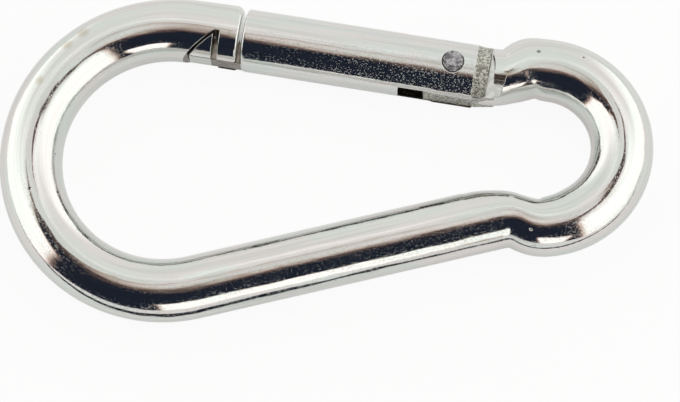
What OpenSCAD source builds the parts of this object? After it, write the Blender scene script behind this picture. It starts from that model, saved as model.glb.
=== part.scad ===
// Snap hook: a bent round bar with a large bow, a small eye and a sprung gate.
// It lies flat on z = 0, with its long axis along X, the eye at +X and the gate at +Y.

/* [Hook] */
// Length of the hook over bow and eye
overall_l = 100; // [90:1:120]
// Diameter of the round bar
bar_d = 9.6; // [8:0.1:10]
// Centreline radius of the large bow on the spine's side
spine_bow_r = 20.6; // [18:0.1:24]
// Centreline radius of the large bow on the nose's side
nose_bow_r = 21.1; // [18:0.1:24]
// Centreline radius of the small eye
eye_r = 12.4; // [11:0.1:15]
// How far the eye's bar stands outside the line of the spine
spine_step = 3.05; // [2:0.05:4]
// How far the eye's bar stands outside the line of the gate
gate_step = 2.75; // [2:0.05:4]
// Centreline radius of the two bends at each shoulder of the eye
shoulder_r = 4.95; // [4.95:0.05:6]

/* [Nose] */
// Straight length of the nose
nose_l = 7.4; // [7:0.1:10]
// Edge radius of the nose's end
nose_round = 1.3; // [0.5:0.1:2]
// Length of the nose that the slot splits into two ears
ear_l = 2.9; // [2:0.1:3.5]
// Distance of the slot's roof below the bar's axis
slot_roof = 0.7; // [0.3:0.1:1.2]
// Width of the pocket behind the ears, at its roof
pocket_l = 0.9; // [0.6:0.1:1.5]
// Slope of the pocket's long side
pocket_slope = 43; // [35:1:50]

/* [Gate] */
// Gap between the nose and the gate
nose_gap = 0.6; // [0.4:0.1:1]
// Edge radius of the gate's front end
gate_round = 0.8; // [0.3:0.1:1.5]
// Thickness of the tongue that enters the nose
tongue_t = 3.2; // [2.4:0.1:3.6]
// Gap between the hammer head and the back of the ears
head_back_gap = 1.0; // [0.8:0.1:1.3]
// Gap between the hammer head and the pocket's long side
head_gap = 0.45; // [0.3:0.05:0.6]
// Gap between the tongue's top and the slot's roof
tongue_gap = 0.35; // [0.2:0.05:0.6]
// Side clearance of the tongue in its slot
slot_side_gap = 0.35; // [0.2:0.05:0.6]
// Length of the fork behind the pivot
fork_tail = 5.6; // [5:0.1:6]
// Length of the fork's slot in front of the pivot
fork_slot_l = 7.8; // [7:0.1:10]
// Length of the roughly sheared band at the fork's end
fork_band_l = 2; // [1:0.1:3]
// How much thinner the sheared band is than the bar
fork_band_drop = 0.25; // [0.1:0.05:0.5]
// How far the gate opens inwards, in degrees
gate_open = 40; // [30:1:40]

/* [Tang] */
// Thickness of the flattened tang
tang_t = 4; // [3:0.1:4.4]
// Width of the tang
tang_w = 8.6; // [7:0.1:9]
// Side clearance of the tang in the fork
tang_gap = 0.1; // [0.05:0.05:0.3]
// Diameter of the neck between the tang and the eye
neck_d = 8.8; // [7.5:0.1:9.2]
// Length from the pivot to the neck
neck_start = 6.1; // [6:0.1:6.6]
// Length from the pivot to the first bend of the shoulder
pivot_to_shoulder = 7; // [6.9:0.1:8]
// Length of the cam end in front of the pivot
cam_reach = 4.4; // [3.8:0.1:5]
// Eccentricity of the cam end about the pivot
cam_offset = 2.15; // [1.5:0.05:2.5]
// Radius of the relief pressed into the neck's inner side
relief_r = 8.4; // [7.4:0.1:9]
// Distance of the relief's wall below the bar's axis
relief_wall = 0.6; // [0.2:0.1:1.5]

/* [Rivet and spring] */
// Diameter of the rivet's shank
rivet_d = 3; // [2.4:0.1:3.6]
// Diameter of the rivet's heads
rivet_head_d = 3.5; // [3:0.1:4.4]
// Height of a rivet head below its rim
rivet_head_h = 0.55; // [0.3:0.05:1]
// Height of a rivet head's dome
rivet_dome_h = 0.18; // [0.1:0.02:0.3]
// Radial running clearance of the rivet in the tang
rivet_clear = 0.05; // [0.02:0.01:0.09]
// Diameter of the bore for the spring and plunger
bore_d = 4.1; // [3.6:0.1:4.4]
// Solid length between the bore's end and the gate's front end
bore_wall = 6.5; // [5:0.5:9]
// Radial clearance of the plunger in its bore
plunger_clear = 0.06; // [0.03:0.01:0.09]
// Length of the plunger's thick part
plunger_l = 5; // [4:0.1:5.5]
// Gap between the plunger's dome and the cam end
cam_gap = 0.1; // [0.05:0.01:0.2]
// Diameter of the plunger's stem, which guides the spring
stem_d = 2.2; // [1.6:0.1:2.4]
// Length of the plunger's stem
stem_l = 2.5; // [1.5:0.5:3]
// Diameter of the spring's wire
wire_d = 0.5; // [0.4:0.05:0.6]
// Distance from turn to turn of the spring
spring_pitch = 1.2; // [1:0.1:1.8]

/* [Hidden] */
$fn = 96;
steel = [0.78, 0.79, 0.80];
plated = [0.72, 0.74, 0.76];
rivet_grey = [0.60, 0.61, 0.62];
spring_grey = [0.45, 0.46, 0.48];

// Length of a cut that runs out well clear of the bar
far = overall_l;
// How far a cut or a joined solid runs past the face that it meets
past = 1;
// Where two stretches of the bar meet, a slightly thinner one runs into the other
lap = 0.1;
// Difference of their diameters
lap_thin = 0.12;
// Radial clearance of the rivet in the gate's cheeks
rivet_seat = 0.02;
// Clearance at the spring's ends and around its coil
spring_clear = 0.1;
// Clearance around the fork's swing in the neck
swing_gap = 0.25;
// How far the rounding cuts back the fork's inner corner
swing_cut = 0.95;
// How far the tongue and the hammer head lie inside the bar's round surface
tongue_inset = 0.4;
head_inset = 0.15;
// How far the rims of the rivet's heads lie inside the bar's round surface
rim_inset = 0.3;
// Facets around and along the spring's wire
wire_sides = 6;
wire_steps = 16;

bar_r = bar_d / 2;
axis_y = (spine_bow_r - nose_bow_r) / 2;
bow_x = spine_bow_r + bar_r - overall_l / 2;
eye_x = overall_l / 2 - bar_r - eye_r;
// The nose's arc meets the spine's arc at the far end of the bow
nose_arc_x = bow_x + nose_bow_r - spine_bow_r;

// Each leg is tangent to its arc of the bow and passes the eye at a set distance
spine_angle = asin((spine_bow_r - eye_r + spine_step) / (eye_x - bow_x));
gate_angle = asin((nose_bow_r - eye_r + gate_step) / (eye_x - nose_arc_x));

function outward(angle) = [sin(angle), cos(angle)];
function along(angle) = [cos(angle), -sin(angle)];
// Start of a leg on its arc, with both legs drawn as on the gate's side
function leg_start(arc_x, arc_r, angle) = [arc_x, 0] + arc_r * outward(angle);
// Centre of the shoulder bend that joins the eye
eye_bend = [eye_x, eye_r - shoulder_r];
// Turn of the shoulder bend that leaves the leg
function leg_bend_turn(start, angle) =
    acos(((start - eye_bend) * outward(angle) + shoulder_r) / (2 * shoulder_r));
// Length of a leg up to its shoulder bend
function leg_length(start, angle) =
    (eye_bend - start) * along(angle) - 2 * shoulder_r * sin(leg_bend_turn(start, angle));

spine_start = leg_start(bow_x, spine_bow_r, spine_angle);
gate_start = leg_start(nose_arc_x, nose_bow_r, gate_angle);
spine_l = leg_length(spine_start, spine_angle);
gate_line_l = leg_length(gate_start, gate_angle);

pivot_s = gate_line_l - pivot_to_shoulder;
pivot = gate_start + pivot_s * along(gate_angle);
// Places along the gate are measured from the pivot, and its front end has a negative one
nose_end = nose_l - pivot_s;
gate_front = nose_end + nose_gap;
ear_back = nose_end - ear_l;

slot_w = tongue_t + 2 * slot_side_gap;
tongue_top = slot_roof + tongue_gap;
tongue_drop = bar_r - tongue_inset;
fork_slot_w = tang_t + 2 * tang_gap;
// The fork's inner corner is rounded about the pivot, so that it clears the neck as it swings
fork_swing_r = norm([fork_tail, bar_r]) - swing_cut;

// The cam end is part of a circle that is eccentric to the pivot
cam_direction = 270 + gate_open / 2;
cam_centre = cam_offset * [cos(cam_direction), sin(cam_direction)];
cam_r = cam_reach + cam_offset * sin(gate_open / 2);

rivet_r = rivet_d / 2;
head_rim = bar_r - rim_inset;
bore_start = -fork_slot_l;
bore_end = gate_front + bore_wall;
plunger_r = bore_d / 2 - plunger_clear;
// The dome rests on the cam end, on the gate's axis
dome_reach = cam_r + plunger_r + cam_gap;
dome_centre = cam_centre[0] - sqrt(dome_reach * dome_reach - cam_centre[1] * cam_centre[1]);
plunger_end = dome_centre - plunger_l;
coil_r = bore_d / 2 - spring_clear - wire_d / 2;
// Length of the spring's helix between its end clearances, and the turns that fit on it
coil_l = plunger_end - bore_end - 2 * spring_clear - wire_d;
spring_turns = floor(coil_l / spring_pitch);

// A round bar bent to part of a circle
module bent_bar(centre, r, from_angle, to_angle, d = bar_d) {
    translate(centre)
        rotate([0, 0, from_angle])
            rotate_extrude(angle = to_angle - from_angle)
                translate([r, 0])
                    circle(d = d);
}

// A bend that laps both of its neighbours
module lapped_bend(centre, r, from_angle, to_angle) {
    lap_angle = lap * 180 / (PI * r);
    bent_bar(centre, r, from_angle - lap_angle, to_angle + lap_angle, bar_d - lap_thin);
}

// A straight bar that laps both of its neighbours, in the direction of an angle below +X
module lapped_straight(start, angle, l) {
    translate(start)
        rotate([0, 0, -angle])
            rotate([0, 90, 0])
                translate([0, 0, -lap])
                    cylinder(h = l + 2 * lap, d = bar_d - lap_thin);
}

// Half of the bar with a rounded end, as a profile to turn about its axis
module rounded_profile(l, r, edge) {
    difference() {
        square([r, l]);
        translate([r - edge, l - edge])
            difference() {
                square([edge + past, edge + past]);
                circle(r = edge);
            }
    }
}

// A round bar along +X from the origin with a rounded far end
module rounded_bar(l, d, edge) {
    rotate([0, 90, 0])
        rotate_extrude()
            rounded_profile(l, d / 2, edge);
}

// Places what is drawn along the gate, from the pivot, in the hook
module on_gate_line() {
    translate([pivot[0], pivot[1] + axis_y, bar_r])
        rotate([0, 0, -gate_angle])
            children();
}

// The two bends of one shoulder, drawn as on the gate's side
module shoulder(start, angle) {
    turn = leg_bend_turn(start, angle);
    leg_bend = start + leg_length(start, angle) * along(angle) + shoulder_r * outward(angle);
    bent_bar(leg_bend, shoulder_r, 270 - angle, 270 - angle + turn);
    lapped_bend(eye_bend, shoulder_r, 90, 90 - angle + turn);
}

// The bow, the spine, the eye and both shoulders, on the bar's mid-plane
module bent_bars() {
    bent_bar([bow_x, 0], spine_bow_r, 180, 270 + spine_angle);
    bent_bar([nose_arc_x, 0], nose_bow_r, 90 - gate_angle, 180);
    mirror([0, 1, 0]) {
        lapped_straight(spine_start, spine_angle, spine_l);
        shoulder(spine_start, spine_angle);
    }
    bent_bar([eye_x, 0], eye_r, -90, 90);
    shoulder(gate_start, gate_angle);
}

// Outline of the pocket behind the ears, from the pivot along the gate
module pocket_outline() {
    drop = bar_d - slot_roof;
    polygon([
        [ear_back, -slot_roof],
        [ear_back - pocket_l, -slot_roof],
        [ear_back - pocket_l - drop / tan(pocket_slope), -bar_d],
        [ear_back, -bar_d]
    ]);
}

// The slot between the ears and the pocket behind them, both open to the inside
module nose_cuts() {
    translate([ear_back - past, -bar_d, -slot_w / 2])
        cube([ear_l + 2 * past, bar_d - slot_roof, slot_w]);
    translate([0, 0, -bar_d])
        linear_extrude(2 * bar_d)
            pocket_outline();
}

module nose() {
    difference() {
        translate([-pivot_s - lap, 0, 0])
            rounded_bar(nose_l + lap, bar_d - lap_thin, nose_round);
        nose_cuts();
    }
}

// What is pressed away on one face of the tang's end, above the tang's thickness
module tang_relief() {
    translate([0, 0, tang_t / 2]) {
        cylinder(h = bar_d, r = fork_swing_r + swing_gap);
        intersection() {
            cylinder(h = bar_d, r = relief_r);
            translate([0, -far - relief_wall, 0])
                cube([far, far, bar_d]);
        }
        translate([neck_start - 2 * bar_d, -bar_d, 0])
            cube([2 * bar_d, 2 * bar_d, bar_d]);
    }
}

// Outline of the tang from the cam end to the neck
module tang_outline() {
    intersection() {
        translate(cam_centre)
            circle(r = cam_r);
        translate([-far, -tang_w / 2])
            square([2 * far, tang_w]);
    }
    translate([0, -tang_w / 2])
        square([pivot_to_shoulder + lap, tang_w]);
}

// The neck, pressed flat on both faces to the tang
module tang() {
    difference() {
        rotate([0, 90, 0])
            cylinder(h = pivot_to_shoulder + lap, d = neck_d);
        tang_relief();
        mirror([0, 0, 1])
            tang_relief();
    }
    translate([0, 0, -tang_t / 2])
        linear_extrude(tang_t)
            tang_outline();
}

module hook_body() {
    color(steel)
        difference() {
            union() {
                difference() {
                    translate([0, axis_y, bar_r])
                        bent_bars();
                    on_gate_line() {
                        nose_cuts();
                        tang_relief();
                        mirror([0, 0, 1])
                            tang_relief();
                    }
                }
                on_gate_line() {
                    nose();
                    tang();
                }
            }
            on_gate_line()
                translate([0, 0, -bar_d])
                    cylinder(h = 2 * bar_d, r = rivet_r + rivet_clear);
        }
}

// Outline of the tongue and its hammer head, whose front slopes like the pocket
module tongue_outline() {
    head_shift = head_gap / sin(pocket_slope);
    roof_x = ear_back - pocket_l + head_shift;
    polygon([
        [gate_front + gate_round, -tongue_top],
        [roof_x - tongue_gap / tan(pocket_slope), -tongue_top],
        [roof_x - (tongue_drop - slot_roof) / tan(pocket_slope), -tongue_drop],
        [gate_front + gate_round, -tongue_drop]
    ]);
}

// The hammer head lies in the nose's pocket, flush with the bar's round surface
module hammer_head() {
    intersection() {
        translate([0, 0, -bar_d])
            linear_extrude(2 * bar_d)
                tongue_outline();
        translate([gate_front - far, 0, 0])
            rotate([0, 90, 0])
                cylinder(h = far + ear_back - head_back_gap - gate_front, r = bar_r - head_inset);
    }
}

// The tongue runs between the ears and carries the hammer head
module tongue() {
    translate([0, 0, -tongue_t / 2])
        linear_extrude(tongue_t)
            tongue_outline();
}

// Recess and hole for the rivet in one cheek
module rivet_seat_cut() {
    cylinder(h = far, r = rivet_r + rivet_seat);
    translate([0, 0, head_rim - rivet_head_h])
        cylinder(h = far, r = rivet_head_d / 2 + rivet_seat);
}

// The round bar of the gate, with its front edge rounded and its rear band sheared
module gate_bar() {
    intersection() {
        union() {
            mirror([1, 0, 0])
                rounded_bar(-gate_front, bar_d, gate_round);
            rotate([0, 90, 0])
                cylinder(h = fork_tail - fork_band_l, d = bar_d);
            rotate([0, 90, 0])
                cylinder(h = fork_tail, r = bar_r - fork_band_drop);
        }
        union() {
            translate([0, 0, -bar_d])
                cylinder(h = 2 * bar_d, r = fork_swing_r);
            translate([-far, -far, -bar_d])
                cube([far, 2 * far, 2 * bar_d]);
            translate([-far, 0, -bar_d])
                cube([2 * far, far, 2 * bar_d]);
        }
    }
}

module gate() {
    color(plated)
        on_gate_line() {
            difference() {
                gate_bar();
                translate([bore_start, -far, -fork_slot_w / 2])
                    cube([far, 2 * far, fork_slot_w]);
                translate([bore_end, 0, 0])
                    rotate([0, 90, 0])
                        cylinder(h = bore_start - bore_end + past, d = bore_d);
                rivet_seat_cut();
                mirror([0, 0, 1])
                    rivet_seat_cut();
            }
            tongue();
            hammer_head();
        }
}

// One half of the rivet, from its middle to the dome of its head
module rivet_half() {
    rim_r = rivet_head_d / 2;
    dome_r = (rim_r * rim_r + rivet_dome_h * rivet_dome_h) / (2 * rivet_dome_h);
    cylinder(h = head_rim, r = rivet_r);
    translate([0, 0, head_rim - rivet_head_h])
        cylinder(h = rivet_head_h, r = rim_r);
    intersection() {
        translate([0, 0, head_rim + rivet_dome_h - dome_r])
            sphere(r = dome_r);
        translate([0, 0, head_rim])
            cylinder(h = past, r = rim_r);
    }
}

module pivot_rivet() {
    color(rivet_grey)
        on_gate_line() {
            rivet_half();
            mirror([0, 0, 1])
                rivet_half();
        }
}

// Points of one ring of the spring's wire, at a share of its length
function wire_ring(share) = [
    for (k = [0:wire_sides - 1])
        let (turn = 360 * spring_turns * share)
        let (side = 360 * k / wire_sides)
        let (r = coil_r + wire_d / 2 * cos(side))
        [r * cos(turn), r * sin(turn), coil_l * share + wire_d / 2 * sin(side)]
];

// The coil spring along +Z from the origin
module coil_spring() {
    rings = spring_turns * wire_steps;
    points = [for (i = [0:rings]) each wire_ring(i / rings)];
    sides = [
        for (i = [0:rings - 1], k = [0:wire_sides - 1])
            let (here = i * wire_sides)
            let (next_k = (k + 1) % wire_sides)
            [here + k, here + next_k, here + wire_sides + next_k, here + wire_sides + k]
    ];
    first_end = [for (k = [wire_sides - 1:-1:0]) k];
    last_end = [for (k = [0:wire_sides - 1]) rings * wire_sides + k];
    polyhedron(points = points, faces = concat([first_end], sides, [last_end]), convexity = 10);
}

module gate_spring() {
    color(spring_grey)
        on_gate_line()
            translate([bore_end + spring_clear + wire_d / 2, 0, 0])
                rotate([0, 90, 0])
                    coil_spring();
}

// Half of the plunger's outline from its stem to its dome, to turn about its axis
module plunger_profile() {
    square([stem_d / 2, stem_l + past]);
    translate([0, stem_l])
        square([plunger_r, plunger_l]);
    translate([0, stem_l + plunger_l])
        intersection() {
            circle(r = plunger_r);
            square([plunger_r, plunger_r]);
        }
}

module spring_plunger() {
    color(spring_grey)
        on_gate_line()
            translate([plunger_end - stem_l, 0, 0])
                rotate([0, 90, 0])
                    rotate_extrude()
                        plunger_profile();
}

hook_body();
gate();
pivot_rivet();
gate_spring();
spring_plunger();
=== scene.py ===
# A zinc-plated snap hook of bent round bar, lying flat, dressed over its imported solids.
# Everything is in metres, in the part's own frame: +X to the small eye, +Y to the gate, +Z up.
import bpy
import numpy as np
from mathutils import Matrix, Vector


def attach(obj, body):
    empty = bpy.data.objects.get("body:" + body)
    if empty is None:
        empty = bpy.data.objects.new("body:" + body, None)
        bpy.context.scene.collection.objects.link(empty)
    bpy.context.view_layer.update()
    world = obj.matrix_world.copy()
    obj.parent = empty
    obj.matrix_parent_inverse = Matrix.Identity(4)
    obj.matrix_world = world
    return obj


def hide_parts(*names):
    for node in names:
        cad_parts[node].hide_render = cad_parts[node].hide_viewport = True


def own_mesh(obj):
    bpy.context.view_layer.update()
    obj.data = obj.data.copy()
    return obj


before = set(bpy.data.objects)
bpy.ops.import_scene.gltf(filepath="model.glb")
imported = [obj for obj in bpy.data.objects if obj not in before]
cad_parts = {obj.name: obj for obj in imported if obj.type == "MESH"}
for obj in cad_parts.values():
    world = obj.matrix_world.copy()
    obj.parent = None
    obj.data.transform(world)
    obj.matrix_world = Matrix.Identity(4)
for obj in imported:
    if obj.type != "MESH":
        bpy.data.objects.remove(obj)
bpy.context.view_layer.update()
MM = 0.001

# The bar of the hook: a drawn round steel bar, cut to length, bent cold and zinc plated.
# Its centre line lies in one plane, as a chain of straights and bends from the nose's end,
# round the large bow, along the spine, round the small eye and back to the rivet.
OVERALL_L = 100 * MM
BAR_R = 4.8 * MM
PAST_BAR = 2 * BAR_R
SPINE_BOW_R = 20.6 * MM
NOSE_BOW_R = 21.1 * MM
EYE_R = 12.4 * MM
SPINE_STEP = 3.05 * MM
GATE_STEP = 2.75 * MM
SHOULDER_R = 4.95 * MM
NOSE_L = 7.4 * MM
NOSE_ROUND = 1.3 * MM
EDGE_ROUND = 0.35 * MM
PIVOT_TO_SHOULDER = 7.0 * MM
BAR_END = 1.0 * MM
BEND_EASE = 1.6 * MM
AVERAGED = 9
RING_STEP = 0.35 * MM
RING_SIDES = 96

AXIS_Y = (SPINE_BOW_R - NOSE_BOW_R) / 2
BOW_X = SPINE_BOW_R + BAR_R - OVERALL_L / 2
EYE_X = OVERALL_L / 2 - BAR_R - EYE_R
NOSE_ARC_X = BOW_X + NOSE_BOW_R - SPINE_BOW_R
SPINE_ANGLE = np.arcsin((SPINE_BOW_R - EYE_R + SPINE_STEP) / (EYE_X - BOW_X))
GATE_ANGLE = np.arcsin((NOSE_BOW_R - EYE_R + GATE_STEP) / (EYE_X - NOSE_ARC_X))
GATE_DIR = np.array([np.cos(GATE_ANGLE), -np.sin(GATE_ANGLE)])
GATE_OUT = np.array([np.sin(GATE_ANGLE), np.cos(GATE_ANGLE)])


def leg(arc_x, arc_r, angle):
    """A leg starts where its line touches its arc, and the bend that leaves it turns until the
    next bend meets the eye. Returns its start, its length and that turn, as on the gate's side."""
    out = np.array([np.sin(angle), np.cos(angle)])
    run = np.array([np.cos(angle), -np.sin(angle)])
    start = np.array([arc_x, 0.0]) + arc_r * out
    to_bend = np.array([EYE_X, EYE_R - SHOULDER_R]) - start
    turn = np.arccos((SHOULDER_R - to_bend @ out) / (2 * SHOULDER_R))
    return start, to_bend @ run - 2 * SHOULDER_R * np.sin(turn), turn


def walk(start, heading, stretches, step, ease):
    """A chain of stretches, each with a length and a curvature. The heading is the sum of the
    curvature along the way, averaged over a short length so that bends ease in and out, and
    each place is the sum of the steps before it. Returns lengths, places and headings."""
    lengths, curvatures = np.array(stretches).T
    ends = np.cumsum(lengths)
    count = int(np.ceil(ends[-1] / step))
    s = np.linspace(0, ends[-1], count + 1)
    turned = np.concatenate([[0], np.cumsum(lengths * curvatures)])
    knots = np.concatenate([[0], ends])
    reach = np.linspace(-ease / 2, ease / 2, AVERAGED)
    middle = (s[1:] + s[:-1]) / 2
    eased = np.interp(middle[:, None] + reach, knots, turned).mean(1) + heading
    at_rings = np.interp(s[:, None] + reach, knots, turned).mean(1) + heading
    steps = np.diff(s)[:, None] * np.column_stack([np.cos(eased), np.sin(eased)])
    return s, start + np.concatenate([[[0, 0]], np.cumsum(steps, 0)]), at_rings


gate_start, gate_line_l, gate_turn = leg(NOSE_ARC_X, NOSE_BOW_R, GATE_ANGLE)
_, spine_l, spine_turn = leg(BOW_X, SPINE_BOW_R, SPINE_ANGLE)
PIVOT_S = gate_line_l - PIVOT_TO_SHOULDER
PIVOT = gate_start + PIVOT_S * GATE_DIR + np.array([0, AXIS_Y])
to_spine_shoulder = [
    (NOSE_L, 0),
    (NOSE_BOW_R * (np.pi / 2 + GATE_ANGLE), 1 / NOSE_BOW_R),
    (SPINE_BOW_R * (np.pi / 2 + SPINE_ANGLE), 1 / SPINE_BOW_R),
    (spine_l, 0),
    (SHOULDER_R * spine_turn, -1 / SHOULDER_R),
]
to_tang = [
    (SHOULDER_R * (spine_turn - SPINE_ANGLE), 1 / SHOULDER_R),
    (EYE_R * np.pi, 1 / EYE_R),
    (SHOULDER_R * (gate_turn - GATE_ANGLE), 1 / SHOULDER_R),
    (SHOULDER_R * gate_turn, -1 / SHOULDER_R),
    (PIVOT_TO_SHOULDER - BAR_END, 0),
]
bends = to_spine_shoulder + to_tang
nose_tip = gate_start + NOSE_L * GATE_DIR + np.array([0, AXIS_Y])
bar_s, bar_xy, bar_heading = walk(nose_tip, np.pi - GATE_ANGLE, bends, RING_STEP, BEND_EASE)


def ring_faces(rings, sides):
    """Four-sided faces between each ring of points and the next, and one flat face to close
    each end. Point k of ring n has the number n times the sides, plus k."""
    ring, k = np.meshgrid(np.arange(rings - 1), np.arange(sides), indexing="ij")
    here = ring * sides + k
    after = ring * sides + (k + 1) % sides
    quads = np.stack([here, after, after + sides, here + sides], -1).reshape(-1, 4)
    first = np.arange(sides)[::-1]
    last = (rings - 1) * sides + np.arange(sides)
    return quads.tolist() + [first.tolist(), last.tolist()]


def tube(name, s, xy, heading, radius, inner, outer, sides):
    """A section carried along a flat path: each ring's point at angle a lies at the side reach
    times cosine a along the left-hand normal and at radius times sine a along +Z. The side
    reach is the inner one to the left and the outer one to the right, so a ring is two half
    ovals that share their height. The map holds the length and the share of the turn."""
    turn = np.linspace(0, 2 * np.pi, sides, endpoint=False) - np.pi / 2
    left = np.column_stack([-np.sin(heading), np.cos(heading)])
    side = np.where(np.cos(turn) > 0, inner[:, None], outer[:, None]) * np.cos(turn)
    flat = xy[:, None, :] + side[..., None] * left[:, None, :]
    up = radius[:, None] * np.sin(turn) + BAR_R
    points = np.concatenate([flat, up[..., None]], -1).reshape(-1, 3)
    mesh = bpy.data.meshes.new(name)
    mesh.from_pydata(points, [], ring_faces(len(s), sides))
    ring, k = np.meshgrid(np.arange(len(s) - 1), np.arange(sides), indexing="ij")
    share = np.stack([k, k + 1, k + 1, k], -1) / sides
    length = np.stack([s[ring], s[ring], s[ring + 1], s[ring + 1]], -1)
    caps = np.zeros((2 * sides, 2))
    caps[sides:, 0] = s[-1]
    uv = np.concatenate([np.stack([length, share], -1).reshape(-1, 2), caps])
    along = mesh.uv_layers.new(name="along_bar")
    along.data.foreach_set("uv", uv.ravel().astype(np.float32))
    return mesh


END_RINGS = np.array([0.02, 0.33, 0.66])
END_STEPS = 8


def rounded_start(s, xy, heading, reaches, edges):
    """Rings added at a tube's start, where its side turns into a flat face. Each reach has its
    own edge radius e: at a distance d from the end it is smaller by e less the square root of
    e squared less (e - d) squared. The flat face has rings at the end rings' shares of its rim."""
    a = np.linspace(np.pi / 2, 0, END_STEPS)
    small, large = min(edges), max(edges)
    falls = np.concatenate([small * (1 - np.sin(a)), large * (1 - np.sin(a))])
    steps = np.unique(np.round(falls, 7))
    keep = s > s[0] + large * 1.05
    new_s = np.concatenate([np.zeros(len(END_RINGS)), steps]) + s[0]
    new_xy = xy[0] + (new_s - s[0])[:, None] * [np.cos(heading[0]), np.sin(heading[0])]
    new_reaches = []
    for reach, e in zip(reaches, edges):
        left_over = e - np.minimum(steps, e)
        rim = reach[0] - e + np.sqrt(e ** 2 - left_over ** 2)
        new_reaches.append(np.concatenate([END_RINGS * rim[0], rim, reach[keep]]))
    all_s = np.concatenate([new_s, s[keep]])
    all_xy = np.concatenate([new_xy, xy[keep]])
    all_heading = np.concatenate([np.full(len(new_s), heading[0]), heading[keep]])
    return all_s, all_xy, all_heading, *new_reaches


def on_gate(points):
    """Points given from the pivot, along the gate, outwards and up, set in the hook's frame."""
    points = np.asarray(points, float)
    flat = PIVOT + points[:, :1] * GATE_DIR + points[:, 1:2] * GATE_OUT
    return np.column_stack([flat, points[:, 2] + BAR_R])


def prism(name, outline, low, high):
    """An outline in the gate's own frame carried straight up from low to high, closed by flats."""
    outline = np.asarray(outline, float)
    x, y = outline.T
    if np.sum(x * np.roll(y, -1) - y * np.roll(x, -1)) < 0:
        outline = outline[::-1]
    n = len(outline)
    points = np.concatenate([np.column_stack([outline, np.full(n, z)]) for z in (low, high)])
    k = np.arange(n)
    walls = np.column_stack([k, (k + 1) % n, (k + 1) % n + n, k + n]).tolist()
    mesh = bpy.data.meshes.new(name)
    mesh.from_pydata(on_gate(points), [], walls + [k[::-1].tolist(), (k + n).tolist()])
    mesh.validate()
    return mesh


def placed(mesh):
    """An object for a mesh, at the origin."""
    piece = bpy.data.objects.new(mesh.name, mesh)
    bpy.context.scene.collection.objects.link(piece)
    return piece


def carve(piece, tool_mesh, operation):
    """Cuts or joins one closed mesh with another and keeps the result as the piece's own mesh."""
    tool = placed(tool_mesh)
    step = piece.modifiers.new("carve", "BOOLEAN")
    step.operation = operation
    step.solver = "EXACT"
    step.object = tool
    step.material_mode = "TRANSFER"
    graph = bpy.context.evaluated_depsgraph_get()
    result = bpy.data.meshes.new_from_object(piece.evaluated_get(graph))
    piece.modifiers.clear()
    piece.data = result
    bpy.data.objects.remove(tool)


def arc_points(centre, r, start, end, count=48):
    """Points of an arc, from one angle to another, in degrees."""
    a = np.radians(np.linspace(start, end, count))
    return np.asarray(centre) + r * np.column_stack([np.cos(a), np.sin(a)])


def circle(centre, r, sides=48):
    """Points of a whole circle, each of them once."""
    return arc_points(centre, r, 0, 360 - 360 / sides, sides)


def linear(code):
    """An sRGB hex colour as linear red, green and blue."""
    c = np.array([int(code[i:i + 2], 16) for i in (1, 3, 5)]) / 255
    c = np.where(c <= 0.04045, c / 12.92, ((c + 0.055) / 1.055) ** 2.4)
    return (*c.tolist(), 1.0)


def add(tree, kind, *inputs, **settings):
    """Adds a node with its settings and links. The inputs go to its sockets in order, or by the
    keys of one dict. Each is a plain value, a socket, or a node that gives its first output."""
    node = tree.nodes.new(kind)
    for key, value in settings.items():
        setattr(node, key, value)
    keyed = inputs[0] if inputs and isinstance(inputs[0], dict) else dict(enumerate(inputs))
    for key, value in keyed.items():
        if isinstance(value, bpy.types.Node):
            value = value.outputs[0]
        if isinstance(value, bpy.types.NodeSocket):
            tree.links.new(value, node.inputs[key])
        else:
            node.inputs[key].default_value = value
    return node


def steel(name, tint):
    """A metal material: its tree and its shader node, ready for a surface."""
    material = bpy.data.materials.new(name)
    material.use_nodes = True
    shader = material.node_tree.nodes["Principled BSDF"]
    shader.inputs["Base Color"].default_value = linear(tint)
    shader.inputs["Metallic"].default_value = 1.0
    return material, material.node_tree, shader


def bar_map(tree):
    """A place's length along the bar and its share of the turn round it, from the tube's map."""
    uv = add(tree, "ShaderNodeUVMap", uv_map="along_bar")
    along, turn, _ = add(tree, "ShaderNodeSeparateXYZ", uv).outputs
    return along, turn


def drawn_place(tree, stretch):
    """A place on the bar for a pattern that is stretched along it: round the bar in millimetres
    by its own angle, and along it in millimetres divided by the stretch."""
    along, turn = bar_map(tree)
    angle = add(tree, "ShaderNodeMath", turn, 2 * np.pi, operation="MULTIPLY")
    cosine = add(tree, "ShaderNodeMath", angle, operation="COSINE")
    sine = add(tree, "ShaderNodeMath", angle, operation="SINE")
    round_x = add(tree, "ShaderNodeMath", cosine, BAR_R / MM, operation="MULTIPLY")
    round_y = add(tree, "ShaderNodeMath", sine, BAR_R / MM, operation="MULTIPLY")
    length = add(tree, "ShaderNodeMath", along, 1 / MM / stretch, operation="MULTIPLY")
    return add(tree, "ShaderNodeCombineXYZ", round_x, round_y, length)


WORN_EDGE = 0.2 * MM


def rounded_edge(tree):
    """The normal of a surface whose sharp edges are worn round, as the rollers and the plating
    leave them."""
    return add(tree, "ShaderNodeBevel", {"Radius": WORN_EDGE}, samples=6)


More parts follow.
